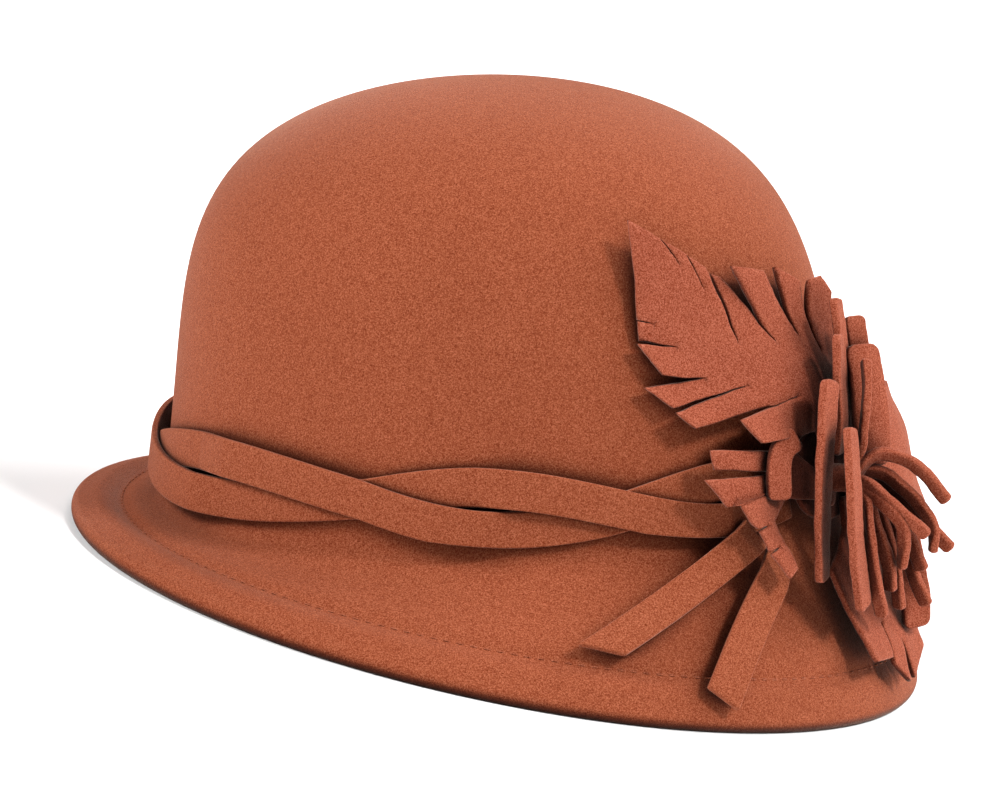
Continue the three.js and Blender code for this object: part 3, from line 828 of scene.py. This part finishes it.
FINGERS = [
    [[90, -58, 69], [91, -57.5, 76], [90.5, -57, 82], [89, -54.5, 93], [87, -51, 101]],
    [[91, -59, 69], [93, -58, 74], [96, -57, 76.6], [100, -56, 76.8], [105, -55, 76],
     [110, -55, 73.4], [118, -55, 67]],
    [[90, -57, 68], [94, -56, 71], [99, -55, 71], [105, -55, 68], [111, -55, 64],
     [116, -55, 58], [117, -55, 52]],
    [[90, -55, 68], [96, -51, 69], [103, -48, 66], [111, -47, 61], [117, -47, 56], [123, -47, 52]],
    [[90, -61, 68], [94, -63, 69], [100, -64, 66], [107, -64, 62], [114, -63, 58]],
    [[90, -61, 68], [96, -63, 66], [101, -64, 64], [106, -64, 60], [108, -63, 55], [109, -61, 47]],
    [[90, -57, 68], [97, -54, 66], [105, -52, 60], [110, -51, 54], [116, -50, 45]],
    [[90, -56, 67], [97, -52, 63], [104, -48, 56], [110, -46, 49], [115, -45, 41], [120, -44, 34]],
    [[90, -60, 67], [95, -63, 64], [98, -65, 55], [102, -64, 44], [107, -61, 32]],
    [[90, -59, 67], [96, -60, 63], [100, -60, 56], [105, -59, 48], [108, -57, 39]],
    [[90, -57, 67], [97, -56, 63], [103, -54, 55], [108, -53, 45], [112, -51, 33]],
]


def make_fringe():
    points, faces, area = rolled_core()
    parts = [points]
    longest = 0
    for route in FINGERS:
        length, place = along_route(route, **FINGER)
        more, joined = strip_mesh(length, FINGER["width"], place, step=0.8, across=4, corner=1.3,
                                  edge=0.8, thick=PETAL_FELT)
        start = sum(len(p) for p in parts)
        parts.append(more)
        faces += [tuple(start + v for v in face) for face in joined]
        area += length * FINGER["width"]
        longest = max(longest, length)
    piece = solid("fringe_felt", np.concatenate(parts), faces, "felt_flower", ["flower_fringe"])
    return piece


def make_petal(number, route, width, across, curl=0.0, twist=0.0):
    length, place = along_route(route, width, across, curl, twist)
    piece = strip(f"petal_felt_{number}", "felt_flower", [f"petal_0{number}"], length, width, place,
                  corner=0.3 * width, edge=0.65, across=6, thick=PETAL_FELT)
    return piece


def make_flower():
    make_backing()
    for name, leaf in LEAVES.items():
        make_leaf(name, **leaf)
    make_fringe()
    for number, petal in enumerate(PETALS, 1):
        make_petal(number, **petal)


# ---- Studio ----

VIEW = dict(elevation=math.radians(12.2), roll=math.radians(12.155), distance=1.4,
            target=(-0.0101, 0, 0.0566), lens=173.4, sensor=36)
# Softboxes: azimuth (right is positive), height, strength and width, in degrees of the view.
LIGHTS = dict(key=(52, 34, 0.77, 11), side=(92, 28, 0.98, 40), fill=(-62, 39, 1.12, 25),
              rear=(150, 50, 0.35, 40))
BACKDROP = dict(light=0.05, seen=0.95)
FLOOR = dict(radius=12, albedo=0.93)


def view_axes():
    """Right, up and back of a low view from the flower's side, tipped so that the hat leans."""
    elevation, roll = VIEW["elevation"], VIEW["roll"]
    right = Vector((1, 0, 0))
    up = Vector((0, math.sin(elevation), math.cos(elevation)))
    back = Vector((0, -math.cos(elevation), math.sin(elevation)))
    return (right * math.cos(roll) + up * math.sin(roll),
            up * math.cos(roll) - right * math.sin(roll), back)


def add_camera():
    data = bpy.data.cameras.new("camera")
    data.lens, data.sensor_width = VIEW["lens"], VIEW["sensor"]
    camera = bpy.data.objects.new("camera", data)
    axes = view_axes()
    place = Vector(VIEW["target"]) + axes[2] * VIEW["distance"]
    camera.matrix_world = Matrix.Translation(place) @ Matrix(axes).transposed().to_4x4()
    bpy.context.scene.collection.objects.link(camera)
    bpy.context.scene.camera = camera


def softbox(name, azimuth, height, strength, width):
    """A large far softbox, as in LIGHTS."""
    right, up, back = view_axes()
    a, h = math.radians(azimuth), math.radians(height)
    toward = (right * math.sin(a) + back * math.cos(a)) * math.cos(h) + up * math.sin(h)
    data = bpy.data.lights.new(name, "SUN")
    data.energy, data.angle = math.pi * strength, math.radians(width)
    light = bpy.data.objects.new(name, data)
    light.rotation_euler = (-toward).to_track_quat("-Z", "Y").to_euler()
    bpy.context.scene.collection.objects.link(light)


def add_studio():
    scene = bpy.context.scene
    scene.view_settings.view_transform = "Standard"
    world = bpy.data.worlds.new("studio")
    world.use_nodes = True
    nodes, links = world.node_tree.nodes, world.node_tree.links
    nodes["Background"].inputs["Color"].default_value = (1, 1, 1, 1)
    seen = nodes.new("ShaderNodeMapRange")
    seen.inputs["To Min"].default_value = BACKDROP["light"]
    seen.inputs["To Max"].default_value = BACKDROP["seen"]
    links.new(nodes.new("ShaderNodeLightPath").outputs["Is Camera Ray"], seen.inputs["Value"])
    links.new(seen.outputs["Result"], nodes["Background"].inputs["Strength"])
    scene.world = world
    for name, light in LIGHTS.items():
        softbox(name, *light)
    made, nodes, links, shader = material("pale_floor", (FLOOR["albedo"],) * 3, 0.9)
    shader.inputs["Specular IOR Level"].default_value = 0.1
    mesh = bpy.data.meshes.new("floor")
    bm = bmesh.new()
    bmesh.ops.create_circle(bm, cap_ends=True, radius=FLOOR["radius"], segments=64)
    bm.to_mesh(mesh)
    bm.free()
    floor = bpy.data.objects.new("floor", mesh)
    floor.data.materials.append(made)
    scene.collection.objects.link(floor)


seed_set(CUT_SEED)
add_camera()
make_body()
make_sweatband()
make_stitches()
make_band("band_felt_a", "band_strip_a", 1)
make_band("band_felt_b", "band_strip_b", -1)
for tail_name, tail in TAILS.items():
    make_tail(tail_name, **tail)
make_flower()
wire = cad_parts["brim_wire"]
wire.data.materials.clear()
wire.data.materials.append(MATERIALS["wire"])
add_studio()
